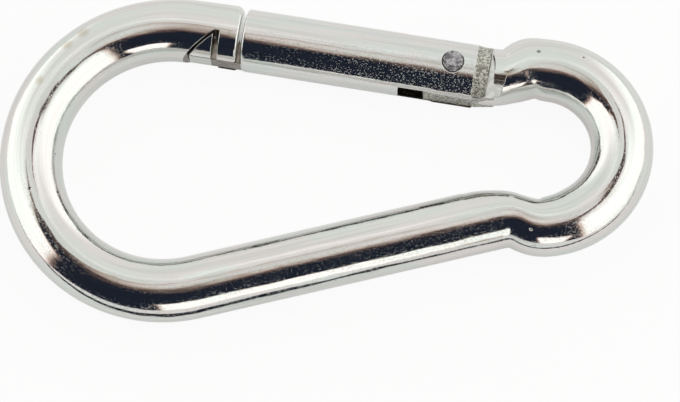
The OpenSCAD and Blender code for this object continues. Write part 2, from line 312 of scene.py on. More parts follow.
def spots(tree, places):
    """One at the middle of each spot, falling to none at its edge. A spot is a length along the
    bar, a share of the turn round it and a radius, and a place belongs to its nearest spot."""
    along, turn = bar_map(tree)
    found = 0.0
    for length, share, r in places:
        run = add(tree, "ShaderNodeMath", along, 1 / r, -length / r, operation="MULTIPLY_ADD")
        turned = add(tree, "ShaderNodeMath", turn, share, operation="SUBTRACT")
        side = add(tree, "ShaderNodeMath", turned, 2 * np.pi * BAR_R / r, operation="MULTIPLY")
        side_2 = add(tree, "ShaderNodeMath", side, side, operation="MULTIPLY")
        far_2 = add(tree, "ShaderNodeMath", run, run, side_2, operation="MULTIPLY_ADD")
        far = add(tree, "ShaderNodeMath", far_2, operation="SQRT")
        spot = add(tree, "ShaderNodeMapRange", far, 1.0, 0.2, interpolation_type="SMOOTHSTEP")
        found = add(tree, "ShaderNodeMath", found, spot, operation="MAXIMUM")
    return found


# Each pattern of the plating has its stretch along the bar, its lumps to the millimetre across
# it, and the roughness of a lump. The real die lines and grains are too fine to show, so both
# are drawn coarser: lines about 0.7 mm wide, and grains about 0.2 mm across.
PLATING_PATTERNS = [(40, 1.5, 0.6), (6, 0.55, 0.5), (1.4, 4.6, 0.6), (3, 0.16, 0.5)]
LINE_HEIGHT = 0.0025
SWELL_HEIGHT = 0.07
GRAIN_HEIGHT = 0.014
PIT_DEPTH = 0.09
# Each pair is where a soft edge starts and where it is complete.
PATCH_EDGE = (0.10, 0.50)
GRAINS_ALONG = (-25 * MM, 34 * MM)
GRAIN_EDGE = (0.58, 0.67)
TINT_EDGE = (0.38, 0.62)
STREAK_EDGE = (0.40, 0.66)


def plated_steel(name, tints, dull_tint, grain, pits=(), stains=()):
    """Bright zinc plating on drawn steel: fine lines left by the drawing die run along the bar,
    soft swells lie between them, and small grains of the plating stand up in patches. Its clear
    passivation drifts between two faint tints. Pits go through to dark steel, and stains only
    dull the colour. Heights are in millimetres."""
    material, tree, shader = steel(name, tints[0])
    patterns = []
    for stretch, per_mm, rough in PLATING_PATTERNS:
        noise = {"Vector": drawn_place(tree, stretch), "Scale": per_mm, "Detail": 2.0, "Roughness": rough}
        patterns.append(add(tree, "ShaderNodeTexNoise", noise))
    lines, swells, grains, patches = patterns
    along, _ = bar_map(tree)
    patchy = add(tree, "ShaderNodeMapRange", patches, *PATCH_EDGE, interpolation_type="SMOOTHSTEP")
    ahead = add(tree, "ShaderNodeMapRange", along, *GRAINS_ALONG, interpolation_type="SMOOTHSTEP")
    spread = add(tree, "ShaderNodeMath", patchy, ahead, operation="MULTIPLY")
    peaks = add(tree, "ShaderNodeMapRange", grains, *GRAIN_EDGE, interpolation_type="SMOOTHSTEP")
    raised = add(tree, "ShaderNodeMath", peaks, spread, operation="MULTIPLY")
    pit = spots(tree, pits)
    stain = spots(tree, stains)
    soft = add(tree, "ShaderNodeMath", swells, SWELL_HEIGHT, operation="MULTIPLY")
    height = add(tree, "ShaderNodeMath", lines, LINE_HEIGHT, soft, operation="MULTIPLY_ADD")
    height = add(tree, "ShaderNodeMath", raised, GRAIN_HEIGHT * grain, height, operation="MULTIPLY_ADD")
    height = add(tree, "ShaderNodeMath", pit, -PIT_DEPTH, height, operation="MULTIPLY_ADD")
    normal = add(tree, "ShaderNodeBump", {"Height": height, "Distance": MM, "Normal": rounded_edge(tree)})
    haze = add(tree, "ShaderNodeMath", lines, 0.06, -0.02, operation="MULTIPLY_ADD")
    cloud = add(tree, "ShaderNodeMath", patches, 0.10, haze, operation="MULTIPLY_ADD")
    drift = add(tree, "ShaderNodeMapRange", swells, *TINT_EDGE, interpolation_type="SMOOTHSTEP")
    streaky = add(tree, "ShaderNodeMapRange", lines, *STREAK_EDGE, interpolation_type="SMOOTHSTEP")
    streaks = add(tree, "ShaderNodeMath", streaky, 0.6, operation="MULTIPLY")
    stained = add(tree, "ShaderNodeMath", stain, 0.5, operation="MULTIPLY")
    pitted = add(tree, "ShaderNodeMath", pit, 0.8, operation="MULTIPLY")
    covers = [(drift, tints[1]), (streaks, dull_tint), (stained, "#b5ac93"), (pitted, "#55524c")]
    colour = linear(tints[0])
    for cover, code in covers:
        layers = {0: cover, 6: colour, 7: linear(code)}
        colour = add(tree, "ShaderNodeMix", layers, data_type="RGBA").outputs[2]
    tree.links.new(colour, shader.inputs["Base Color"])
    tree.links.new(normal.outputs[0], shader.inputs["Normal"])
    tree.links.new(cloud.outputs[0], shader.inputs["Roughness"])
    return material


def plain_steel(name, tint, dark_tint, roughness, depth, per_mm):
    """Cut or pressed steel under thin plating: a grain of some lumps to the millimetre, darker
    in its hollows."""
    material, tree, shader = steel(name, tint)
    place = add(tree, "ShaderNodeTexCoord").outputs["Object"]
    grain = add(tree, "ShaderNodeTexNoise", {"Vector": place, "Scale": per_mm / MM, "Detail": 4.0})
    normal = add(tree, "ShaderNodeBump", {"Height": grain, "Distance": depth, "Normal": rounded_edge(tree)})
    tree.links.new(normal.outputs[0], shader.inputs["Normal"])
    hollows = add(tree, "ShaderNodeMapRange", grain, 0.58, 0.40, interpolation_type="SMOOTHSTEP")
    layers = {0: hollows, 6: linear(tint), 7: linear(dark_tint)}
    colour = add(tree, "ShaderNodeMix", layers, data_type="RGBA").outputs[2]
    tree.links.new(colour, shader.inputs["Base Color"])
    shader.inputs["Roughness"].default_value = roughness
    return material


def finished(piece, angle=32):
    """Smooth faces with sharp edges where faces meet at more than the angle."""
    piece.data.shade_smooth()
    piece.data.set_sharp_from_angle(angle=np.radians(angle))


# Each pit and stain is a length along the bar, a share of the turn round it and a radius.
BAR_PITS = [
    (174.6 * MM, 0.549, 0.42 * MM), (168.6 * MM, 0.576, 0.30 * MM), (50.0 * MM, 0.511, 0.38 * MM),
    (43.7 * MM, 0.341, 0.25 * MM), (134.3 * MM, 0.575, 0.25 * MM),
]
BAR_STAINS = [
    (23.6 * MM, 0.580, 1.3 * MM), (26.4 * MM, 0.576, 1.2 * MM), (32.9 * MM, 0.559, 1.0 * MM),
]
# Bright zinc on the drawn bar mirrors the room with hard edges, a little streaked and tinted.
bright_zinc = plated_steel(
    "bright_zinc_on_drawn_bar", ("#dee4e0", "#e7e3e1"), "#d2d4d0", 0.3, BAR_PITS, BAR_STAINS,
)
# Pressed and bored hollows, and the tongue, get a darker, browner zinc than the bar: painted shade for the
# shadow that lies in these recesses.
pressed_zinc_and_painted_shade = plain_steel("zinc_on_pressed_steel_with_painted_shade", "#958f87", "#77726b", 0.20, 0.02 * MM, 1.5)
# The press leaves the tang's flats almost as bright as the bar.
tang_zinc = plain_steel("zinc_on_tang", "#dcddda", "#cccdc9", 0.14, 0.02 * MM, 1.2)
# A sheared end is torn steel under zinc: a pale, rough band that glitters and hides the room.
sheared = plain_steel("zinc_on_sheared_steel", "#d0d0c6", "#8f8e85", 0.24, 0.4 * MM, 2.4)

# The nose ends in two ears with a slot between them. A press forms the slot and the pocket
# behind it, where the gate's hammer head rests. Both open to the inside of the hook.
EAR_L = 2.9 * MM
SLOT_ROOF = 0.7 * MM
SLOT_W = 3.9 * MM
SLOT_OVERRUN = 1.5 * MM
POCKET_L = 0.9 * MM
POCKET_SLOPE = np.radians(43)
nose_end = NOSE_L - PIVOT_S
ear_back = nose_end - EAR_L
pocket_near = ear_back - POCKET_L
pocket_far = pocket_near - (PAST_BAR - SLOT_ROOF) / np.tan(POCKET_SLOPE)

# The tang is the end of the bar, pressed flat between two shoulders. The fork of the gate
# turns on it, its front end is a cam, and a relief in the neck lets the fork swing.
TANG_T = 4.0 * MM
TANG_W = 8.6 * MM
TANG_TAPER = 4.0 * MM
ROOT_W = 7.6 * MM
CAM_REACH = 4.4 * MM
CAM_OFFSET = 2.15 * MM
GATE_OPEN = np.radians(40)
FORK_TAIL = 5.6 * MM
SWING_CUT = 0.95 * MM
SWING_GAP = 0.13 * MM
NECK_START = 5.9 * MM
RELIEF_R = 8.4 * MM
RELIEF_WALL = 0.6 * MM
RELIEF_END = -80
RIVET_R = 1.5 * MM
RIVET_HOLE_R = 1.55 * MM
fork_swing_r = np.hypot(FORK_TAIL, BAR_R) - SWING_CUT
swing_r = fork_swing_r + SWING_GAP

# The press thins the bar on its inner side at both shoulders and at the neck, and swells the
# nose a little. Each pair is a distance from the shoulder's middle and a reach beside it, both
# in millimetres.
NOSE_SWELL = 0.17 * MM
NOSE_INNER_SWELL = NOSE_SWELL / 2
NOSE_OUTER_SWELL = 1.6 * NOSE_SWELL
NECK_R = 4.4 * MM
NECK_EASE = 4 * MM
SHOULDER_START = 9 * MM
REACH_EASE = 0.8
SPINE_INNER = np.array([
    (-7, 4.7), (-5, 4.35), (-3.5, 3.95), (-2.3, 3.55), (-1, 3.2), (0.3, 3.7), (2, 4.15), (4, 4.4), (8, 4.75),
])
GATE_INNER = np.array([
    (-8, 4.8), (-5, 4.8), (-3, 4.6), (-1, 4.2), (0.6, 3.9), (1.6, 3.5), (2.6, 3.7), (3.7, 4.05), (5.5, 4.2),
])
GATE_OUTER = np.array([(-4, 4.8), (-2.4, 5.05), (-1.5, 5.25), (-0.5, 4.95), (0.2, 4.8), (5, 4.7)])
spine_mid = sum(length for length, _ in to_spine_shoulder)
gate_mid = bar_s[-1] + BAR_END - PIVOT_TO_SHOULDER - SHOULDER_R * gate_turn


def smooth_reach(s, pairs, middle):
    """Reaches read off between pairs and averaged over a short length, so they change smoothly."""
    spread = np.linspace(-REACH_EASE, REACH_EASE, AVERAGED) * MM
    places = s[:, None] + spread - middle
    return np.interp(places, pairs[:, 0] * MM, pairs[:, 1] * MM).mean(1)


def eased(share):
    """A share from 0 to 1 made to start and end softly: three times its square less twice its
    cube."""
    return share ** 2 * (3 - 2 * share)


nose_share = eased(np.clip(1 - bar_s / (2 * NOSE_L), 0, 1))
neck_share = eased(np.clip((bar_s - gate_mid) / NECK_EASE, 0, 1))
upper = BAR_R + NOSE_SWELL * nose_share - (BAR_R - NECK_R) * neck_share
spine_inner = smooth_reach(bar_s, SPINE_INNER, spine_mid)
inner = np.minimum(spine_inner, smooth_reach(bar_s, GATE_INNER, gate_mid))
inner[bar_s < spine_mid - SHOULDER_START] = BAR_R
inner += NOSE_INNER_SWELL * nose_share
outer = smooth_reach(bar_s, GATE_OUTER, gate_mid) + NOSE_OUTER_SWELL * nose_share
reaches = (upper, inner, outer)
rings = rounded_start(bar_s, bar_xy, bar_heading, reaches, (EDGE_ROUND, EDGE_ROUND, NOSE_ROUND))
hook = placed(tube("plated_hook", *rings, RING_SIDES))
hook.data.materials.append(bright_zinc)

slot_outline = [
    (ear_back - SLOT_OVERRUN, -PAST_BAR), (nose_end + SLOT_OVERRUN, -PAST_BAR),
    (nose_end + SLOT_OVERRUN, -SLOT_ROOF), (ear_back - SLOT_OVERRUN, -SLOT_ROOF),
]
pocket_outline = [
    (ear_back, -SLOT_ROOF), (pocket_near, -SLOT_ROOF), (pocket_far, -PAST_BAR), (ear_back, -PAST_BAR),
]
slot_cut = prism("slot_cut", slot_outline, -SLOT_W / 2, SLOT_W / 2)
pocket_cut = prism("pocket_cut", pocket_outline, -PAST_BAR, PAST_BAR)
# The slot and the pocket are lined with the darker zinc, painted shade for their shadow.
for mesh in (slot_cut, pocket_cut):
    mesh.materials.append(pressed_zinc_and_painted_shade)
    carve(hook, mesh, "DIFFERENCE")

corner_y = np.sqrt(swing_r ** 2 - NECK_START ** 2)
corner_turn = np.degrees(np.arctan2(corner_y, NECK_START))
swing_wall_turn = -np.degrees(np.arcsin(RELIEF_WALL / swing_r))
relief_wall_turn = -np.degrees(np.arcsin(RELIEF_WALL / RELIEF_R))
relief_outline = np.concatenate([
    [(NECK_START, PAST_BAR), (NECK_START, corner_y)],
    arc_points((0, 0), swing_r, corner_turn, swing_wall_turn),
    arc_points((0, 0), RELIEF_R, relief_wall_turn, RELIEF_END),
    [(0, -PAST_BAR), (-3 * BAR_R, -PAST_BAR), (-3 * BAR_R, PAST_BAR)],
])
cam_direction = -np.pi / 2 + GATE_OPEN / 2
cam_centre = CAM_OFFSET * np.array([np.cos(cam_direction), np.sin(cam_direction)])
cam_r = CAM_REACH + CAM_OFFSET * np.sin(GATE_OPEN / 2)
half_w = TANG_W / 2
low_turn = np.degrees(np.arcsin((half_w + cam_centre[1]) / cam_r))
step_turn = np.degrees(np.arccos(-cam_centre[0] / cam_r))
tang_outline = np.concatenate([
    [(PIVOT_TO_SHOULDER, -ROOT_W / 2), (TANG_TAPER, -half_w)],
    arc_points(cam_centre, cam_r, 180 + low_turn, step_turn),
    [(0, half_w), (TANG_TAPER, half_w), (PIVOT_TO_SHOULDER, ROOT_W / 2)],
])


def two_metals(mesh, wall_metal, flat_metal):
    """A prism's walls get one metal, and its two flats, the last of its faces, the other."""
    mesh.materials.append(wall_metal)
    mesh.materials.append(flat_metal)
    for face in list(mesh.polygons)[-2:]:
        face.material_index = 1


# The relief's walls get the darker zinc, painted shade for the shadow in the neck's relief, and its floors
# the tang's zinc.
for low, high in ((TANG_T / 2, PAST_BAR), (-PAST_BAR, -TANG_T / 2)):
    relief = prism("relief_cut", relief_outline, low, high)
    two_metals(relief, pressed_zinc_and_painted_shade, tang_zinc)
    carve(hook, relief, "DIFFERENCE")
tang = prism("tang", tang_outline, -TANG_T / 2, TANG_T / 2)
two_metals(tang, sheared, tang_zinc)
carve(hook, tang, "UNION")
# The rivet hole is lined with the darker zinc, painted shade for its shadow.
rivet_hole = prism("rivet_hole", circle((0, 0), RIVET_HOLE_R), -BAR_R, BAR_R)
rivet_hole.materials.append(pressed_zinc_and_painted_shade)
carve(hook, rivet_hole, "DIFFERENCE")
finished(hook)
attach(hook, "hook")
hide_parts("hook_body")

# The gate is one straight length of the same bar. Its front end is rounded and carries a
# tongue with a hammer head that hooks behind the nose's ears. Its rear end is slotted to a
# fork round the tang, and sheared off roughly. A blind bore holds the spring and the plunger.
NOSE_GAP = 0.6 * MM
GATE_ROUND = 0.8 * MM
GATE_R = 4.85 * MM
TONGUE_T = 3.2 * MM
TONGUE_GAP = 0.35 * MM
TONGUE_INSET = 0.4 * MM
HEAD_BACK_GAP = 1.0 * MM
HEAD_GAP = 0.3 * MM
HEAD_R = 4.65 * MM
HEAD_ROUND_L = 12 * MM
FORK_SLOT_L = 7.8 * MM
FORK_SLOT_W = 4.2 * MM
BAND_L = 2.0 * MM
BAND_DROP = 0.25 * MM
BAND_EDGE = 0.2 * MM
CHEEK_L = 2.9 * MM
CHEEK_RISE = 0.15 * MM
CHEEK_EDGE = 0.4 * MM
BORE_R = 2.05 * MM
BORE_WALL = 6.5 * MM
BORE_INTO_SLOT = 1 * MM
BORE_SIDES = 48
RIVET_CLEAR = 0.02 * MM
SEAT_R = 1.75 * MM
SEAT_DEPTH = 0.85 * MM
SEAT_OFF = 0.28 * MM
gate_front = nose_end + NOSE_GAP
tongue_top = SLOT_ROOF + TONGUE_GAP
tongue_drop = BAR_R - TONGUE_INSET
bore_end = gate_front + BORE_WALL

gate_s = np.arange(0, FORK_TAIL - gate_front + RING_STEP / 2, RING_STEP)
gate_s[-1] = FORK_TAIL - gate_front
gate_xy = PIVOT + (gate_s + gate_front)[:, None] * GATE_DIR
gate_heading = np.full(len(gate_s), -GATE_ANGLE)
band_share = np.clip((gate_s + gate_front - FORK_TAIL + BAND_L) / BAND_EDGE, 0, 1)
cheek_share = np.clip((gate_s + gate_front + CHEEK_L) / CHEEK_EDGE, 0, 1)
gate_r = GATE_R - BAND_DROP * band_share
gate_outer = gate_r + CHEEK_RISE * cheek_share * (1 - band_share)
reaches = (gate_r, gate_r, gate_outer)
rings = rounded_start(gate_s, gate_xy, gate_heading, reaches, (EDGE_ROUND, EDGE_ROUND, GATE_ROUND))
gate = placed(tube("plated_gate", *rings, RING_SIDES))
# The gate's zinc is the bar's, but grainier, so its dark band glitters towards the fork.
gate.data.materials.append(
    plated_steel("bright_zinc_on_gate", ("#dee4e1", "#e7e3e2"), "#d1d3d0", 1.0)
)

slope_run = 1 / np.tan(POCKET_SLOPE)
roof_x = pocket_near + HEAD_GAP / np.sin(POCKET_SLOPE)
head_far = roof_x - (tongue_drop - SLOT_ROOF) * slope_run
tongue_far = roof_x - TONGUE_GAP * slope_run
tongue_outline = [
    (gate_front + GATE_ROUND, -tongue_top), (tongue_far, -tongue_top),
    (head_far, -tongue_drop), (gate_front + GATE_ROUND, -tongue_drop),
]
head_back = ear_back - HEAD_BACK_GAP
head_top = tongue_top + (tongue_far - head_back) / slope_run
head_outline = [(head_back, -head_top), (head_far, -tongue_drop), (head_back, -tongue_drop)]
swing_outline = np.concatenate([
    arc_points((0, 0), fork_swing_r, 0, -90),
    [(0, -PAST_BAR), (PAST_BAR, -PAST_BAR), (PAST_BAR, 0)],
])
fork_slot = [
    (-FORK_SLOT_L, -PAST_BAR), (PAST_BAR, -PAST_BAR), (PAST_BAR, PAST_BAR), (-FORK_SLOT_L, PAST_BAR),
]
seat = circle((0, SEAT_OFF), SEAT_R)
cuts = [
    prism("swing_cut", swing_outline, -PAST_BAR, PAST_BAR),
    prism("fork_slot", fork_slot, -FORK_SLOT_W / 2, FORK_SLOT_W / 2),
    prism("rivet_bore", circle((0, 0), RIVET_R + RIVET_CLEAR), -PAST_BAR, PAST_BAR),
    prism("upper_seat", seat, BAR_R - SEAT_DEPTH, PAST_BAR),
    prism("lower_seat", seat, -PAST_BAR, SEAT_DEPTH - BAR_R),
]
# Each cut in the gate is lined with the darker zinc, painted shade for the shadow in the cut.
for cut in cuts:
    cut.materials.append(pressed_zinc_and_painted_shade)
    carve(gate, cut, "DIFFERENCE")
gate.data.materials.append(sheared)
sheared_slot = len(gate.data.materials) - 1
for face in gate.data.polygons:
    run = (np.array(face.center[:2]) - PIVOT) @ GATE_DIR
    if face.material_index == 0 and run > FORK_TAIL - BAND_L:
        face.material_index = sheared_slot

head = placed(prism("head", head_outline, -HEAD_R, HEAD_R))
head_s = np.array([0, HEAD_ROUND_L])
head_xy = PIVOT + (head_s + head_back - HEAD_ROUND_L)[:, None] * GATE_DIR
head_reaches = np.full((3, 2), HEAD_R)
head_round = tube("head_round", head_s, head_xy, gate_heading[:2], *head_reaches, RING_SIDES)
carve(head, head_round, "INTERSECT")
head.data.materials.clear()
head.data.materials.append(bright_zinc)
# The tongue gets the darker zinc too, painted shade for its place in the slot's shadow.
tongue = prism("tongue", tongue_outline, -TONGUE_T / 2, TONGUE_T / 2)
tongue.materials.append(pressed_zinc_and_painted_shade)
carve(gate, tongue, "UNION")
carve(gate, head.data.copy(), "UNION")
bpy.data.objects.remove(head)

bore_s = np.array([0, -FORK_SLOT_L + BORE_INTO_SLOT - bore_end])
bore_xy = PIVOT + (bore_s + bore_end)[:, None] * GATE_DIR
bore_reaches = np.full((3, 2), BORE_R)
bore = tube("bore", bore_s, bore_xy, gate_heading[:2], *bore_reaches, BORE_SIDES)
# The bore is lined with the darker zinc, painted shade for its shadow.
bore.materials.append(pressed_zinc_and_painted_shade)
carve(gate, bore, "DIFFERENCE")
finished(gate)
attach(gate, "gate")
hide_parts("gate")

# The rivet: a plain steel pin through both cheeks of the fork and the tang. Both of its heads
# are peened into seats in the cheeks, a little off centre, and stay dull and dented.
HEAD_OFF = 0.35 * MM
RIM_INSET = 0.15 * MM
RIM_DEPTH = 0.1 * MM
RIVET_HEAD_R = 1.68 * MM
RIVET_HEAD_H = 0.5 * MM
RIVET_DOME_H = 0.2 * MM
DOME_FLAT_R = 0.01 * MM
DOME_FULLNESS = 0.8
DOME_STEPS = 12
RIVET_SIDES = 48


def lathe(name, profile, sides, shift):
    """A profile of radius, height and centre turned round the pivot's axis, from the lowest
    point to the highest, where both ends are closed by a small flat. The shift moves each
    ring's centre outwards by its own share of the profile."""
    radius, height, share = profile.T
    turn = np.linspace(0, 2 * np.pi, sides, endpoint=False)
    x = radius[:, None] * np.cos(turn)
    y = radius[:, None] * np.sin(turn) + shift * share[:, None]
    z = np.repeat(height[:, None], sides, 1)
    mesh = bpy.data.meshes.new(name)
    points = on_gate(np.stack([x, y, z], -1).reshape(-1, 3))
    mesh.from_pydata(points, [], ring_faces(len(radius), sides))
    return mesh


rim_z = BAR_R - RIM_INSET
dome_a = np.linspace(0, np.pi / 2, DOME_STEPS)
dome_r = RIVET_HEAD_R * np.cos(dome_a) ** DOME_FULLNESS + DOME_FLAT_R
dome_z = rim_z - RIM_DEPTH + (RIVET_DOME_H + RIM_DEPTH) * np.sin(dome_a)
dome = np.column_stack([dome_r, dome_z, np.ones(DOME_STEPS)])
head_low = rim_z - RIVET_HEAD_H
shank = [(RIVET_R, 0, 0), (RIVET_R, head_low, 0), (RIVET_HEAD_R, head_low, 1)]
upper_half = np.concatenate([shank, dome])
lower_half = upper_half[:0:-1] * [1, -1, 1]
profile = np.concatenate([lower_half, upper_half[1:]])
rivet = placed(lathe("peened_rivet", profile, RIVET_SIDES, HEAD_OFF))
# Peening breaks the zinc on the heads, so they are greyer than the bar and blotched by dents.
rivet.data.materials.append(
    plain_steel("zinc_on_peened_steel", "#b4b3b5", "#767479", 0.22, 0.9 * MM, 1.2)
)
finished(rivet, 40)
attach(rivet, "gate")
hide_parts("pivot_rivet")

# The spring: drawn steel wire wound to a coil. It lies in the gate's bore between the bore's
# end and the plunger, which presses it together by a little as the gate opens.
WIRE_R = 0.25 * MM
WIRE_SIDES = 14
COIL_STEPS = 40
SPRING_CLEAR = 0.1 * MM
SPRING_PITCH = 1.2 * MM
PLUNGER_L = 5.0 * MM
PLUNGER_CLEAR = 0.06 * MM
CAM_GAP = 0.1 * MM
plunger_r = BORE_R - PLUNGER_CLEAR
dome_reach = cam_r + plunger_r + CAM_GAP
plunger_end = cam_centre[0] - np.sqrt(dome_reach ** 2 - cam_centre[1] ** 2) - PLUNGER_L
spring_room = plunger_end - bore_end
coil_r = BORE_R - SPRING_CLEAR - WIRE_R
coil_start = bore_end + SPRING_CLEAR + WIRE_R
coil_l = spring_room - 2 * SPRING_CLEAR - 2 * WIRE_R
coil_turns = np.floor(coil_l / SPRING_PITCH)


def coil(name, steps_per_turn, sides):
    """A wire of round section along a helix about the gate's axis: each ring stands across the
    helix, spanned by the direction away from the axis and the one square to it and the wire."""
    turn = np.linspace(0, 2 * np.pi * coil_turns, int(coil_turns * steps_per_turn) + 1)
    away = np.column_stack([np.zeros_like(turn), np.cos(turn), np.sin(turn)])
    along = coil_start + coil_l * turn / turn[-1]
    centre = coil_r * away + np.column_stack([along, 0 * turn, 0 * turn])
    run = np.gradient(centre, axis=0)
    run /= np.linalg.norm(run, axis=1)[:, None]
    across = np.cross(run, away)
    k = np.linspace(0, 2 * np.pi, sides, endpoint=False)
    ring = np.cos(k)[:, None] * away[:, None, :] + np.sin(k)[:, None] * across[:, None, :]
    points = on_gate((centre[:, None, :] + WIRE_R * ring).reshape(-1, 3))
    mesh = bpy.data.meshes.new(name)
    mesh.from_pydata(points, [], ring_faces(len(turn), sides))
    return mesh


spring = placed(coil("coil_spring", COIL_STEPS, WIRE_SIDES))
# Bare spring steel is a plain dark grey metal, hardly grained, with a soft sheen of oil.
spring_wire = plain_steel("bare_spring_steel", "#8b8d91", "#7b7d81", 0.25, 0.01 * MM, 1.5)
spring.data.materials.append(spring_wire)
finished(spring, 50)
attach(spring, "gate")
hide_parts("gate_spring")
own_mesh(spring)

# The plunger: a turned steel pin with a stem inside the spring and a domed end that slides on
# the tang's cam end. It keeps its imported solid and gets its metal.
plunger = bpy.data.objects["spring_plunger"]
for slot in plunger.material_slots:
    slot.material = spring_wire

# The stage: a wide pale floor on which the hook lies. The camera and the metal see it white, with the soft
# shadow of the hook kept. In front of the hook a dark strip is painted on the floor, hidden from the camera:
# painted shade that the metal shows as a painted reflection.
FLOOR_HALF = 600 * MM
DARK_STRIP_NEAR_Y = -34 * MM
DARK_STRIP_FAR_Y = -45 * MM
WHITE_TO_CAMERA = 0.92
WHITE_IN_METAL = 0.35
floor_mesh = bpy.data.meshes.new("floor")
corners = [(x * FLOOR_HALF, y * FLOOR_HALF, 0) for x, y in ((-1, -1), (1, -1), (1, 1), (-1, 1))]
floor_mesh.from_pydata(corners, [], [(0, 1, 2, 3)])
floor = placed(floor_mesh)
# Matt white paper: it gives an even white with no gloss, and takes a soft shadow.
pale = bpy.data.materials.new("pale_floor")
pale.use_nodes = True
tree = pale.node_tree
pale_shader = tree.nodes["Principled BSDF"]
pale_shader.inputs["Base Color"].default_value = linear("#fcfcfc")
pale_shader.inputs["Roughness"].default_value = 0.9
pale_shader.inputs["Specular IOR Level"].default_value = 0.1
rays = add(tree, "ShaderNodeLightPath").outputs
place = add(tree, "ShaderNodeTexCoord").outputs["Object"]
place_y = add(tree, "ShaderNodeSeparateXYZ", place).outputs[1]
past_near = add(tree, "ShaderNodeMath", place_y, DARK_STRIP_NEAR_Y, operation="LESS_THAN")
before_far = add(tree, "ShaderNodeMath", place_y, DARK_STRIP_FAR_Y, operation="GREATER_THAN")
in_dark_strip = add(tree, "ShaderNodeMath", past_near, before_far, operation="MULTIPLY")
not_camera = add(tree, "ShaderNodeMath", 1.0, rays["Is Camera Ray"], operation="SUBTRACT")
dark_strip_seen = add(tree, "ShaderNodeMath", in_dark_strip, not_camera, operation="MULTIPLY")
metal_ray = add(
    tree, "ShaderNodeMath", rays["Is Glossy Ray"], rays["Is Transmission Ray"], operation="MAXIMUM",
)
in_metal = add(tree, "ShaderNodeMath", metal_ray, WHITE_IN_METAL, operation="MULTIPLY")
to_camera = add(tree, "ShaderNodeMath", rays["Is Camera Ray"], WHITE_TO_CAMERA, operation="MULTIPLY")
seen_white = add(tree, "ShaderNodeMath", to_camera, in_metal, operation="MAXIMUM")
white_glow = add(tree, "ShaderNodeEmission", {"Strength": 1.0})
sheet = add(tree, "ShaderNodeMixShader", seen_white, pale_shader, white_glow)
# The dark strip: painted shade on the floor, seen by every ray but the camera's, so the metal reflects it as
# a dark line.
painted_dark_strip = add(tree, "ShaderNodeBsdfDiffuse", linear("#2a2d36"))
mixed = add(tree, "ShaderNodeMixShader", dark_strip_seen, sheet, painted_dark_strip)
tree.links.new(mixed.outputs[0], tree.nodes["Material Output"].inputs["Surface"])
floor.data.materials.append(pale)

# The studio: a white room. Its light comes from both sides and from behind the hook, and the
# dark side is where the photographer stands, with one bright window low down in it. A place in
# the room is its direction seen from straight above, where the horizon is a circle of radius 1.
DARK_TIP_Y = 0.10
DARK_TURN = np.radians(254.5)
DARK_HALF = np.radians(41.3)
WINDOW_X = 0.08
HOOP_SHADE = 0.85
ROOM_LEVEL = 1.38
ROOM_DIMMING = -0.50
# Each pair is where a soft edge starts and where it is complete.
DARK_EDGE = (DARK_HALF + 0.09, DARK_HALF - 0.07)
FLARE_X = (0.05, -0.15)
FLARE_FAR = (0.45, 0.12)
WINDOW_HALF = (0.22, 0.15)
WINDOW_TOP = (-0.60, -0.65)
HOOP_HOLE = (0.122, 0.146)
HOOP_RIM = (0.178, 0.204)
HOOP_RIGHT = (0.045, 0.065)
HOOP_LEFT = (-0.09, -0.12)
HORIZON = (0.0, -0.02)
NEAR_SIDE = (0.1, -0.2)
BACK_WALL_Y = (0.05, 0.35)
BACK_WALL_HALF = (0.60, 0.25)
CEILING = (0.16, 0.30)
world = bpy.data.worlds.new("studio")
bpy.context.scene.world = world
world.use_nodes = True
tree = world.node_tree
direction = add(tree, "ShaderNodeTexCoord").outputs["Generated"]
dir_x, dir_y, dir_z = add(tree, "ShaderNodeSeparateXYZ", direction).outputs
above = add(tree, "ShaderNodeMath", dir_z, 1.0, operation="ADD")
depth = add(tree, "ShaderNodeMath", above, 0.1, operation="MAXIMUM")
shrink = add(tree, "ShaderNodeMath", 1.0, depth, operation="DIVIDE")
room_x = add(tree, "ShaderNodeMath", dir_x, shrink, operation="MULTIPLY")
room_y = add(tree, "ShaderNodeMath", dir_y, shrink, operation="MULTIPLY")

# The dark side is a wedge that opens towards the photographer and flares near its tip.
from_tip = add(tree, "ShaderNodeMath", room_y, DARK_TIP_Y, operation="SUBTRACT")
along_y = add(tree, "ShaderNodeMath", from_tip, np.sin(DARK_TURN), operation="MULTIPLY")
along = add(tree, "ShaderNodeMath", room_x, np.cos(DARK_TURN), along_y, operation="MULTIPLY_ADD")
across_y = add(tree, "ShaderNodeMath", from_tip, np.cos(DARK_TURN), operation="MULTIPLY")
across = add(tree, "ShaderNodeMath", room_x, -np.sin(DARK_TURN), across_y, operation="MULTIPLY_ADD")
beside = add(tree, "ShaderNodeMath", across, operation="ABSOLUTE")
angle = add(tree, "ShaderNodeMath", beside, along, operation="ARCTAN2")
from_tip_2 = add(tree, "ShaderNodeMath", from_tip, from_tip, operation="MULTIPLY")
tip_far_2 = add(tree, "ShaderNodeMath", room_x, room_x, from_tip_2, operation="MULTIPLY_ADD")
tip_far = add(tree, "ShaderNodeMath", tip_far_2, operation="SQRT")
to_left = add(tree, "ShaderNodeMapRange", room_x, *FLARE_X, interpolation_type="SMOOTHSTEP")
flare_side = add(tree, "ShaderNodeMath", to_left, 0.45, 0.15, operation="MULTIPLY_ADD")
near_tip = add(tree, "ShaderNodeMapRange", tip_far, *FLARE_FAR, interpolation_type="SMOOTHSTEP")
flare = add(tree, "ShaderNodeMath", near_tip, flare_side, operation="MULTIPLY")
flared = add(tree, "ShaderNodeMath", angle, flare, operation="SUBTRACT")
wedge = add(tree, "ShaderNodeMapRange", flared, *DARK_EDGE, interpolation_type="SMOOTHSTEP")


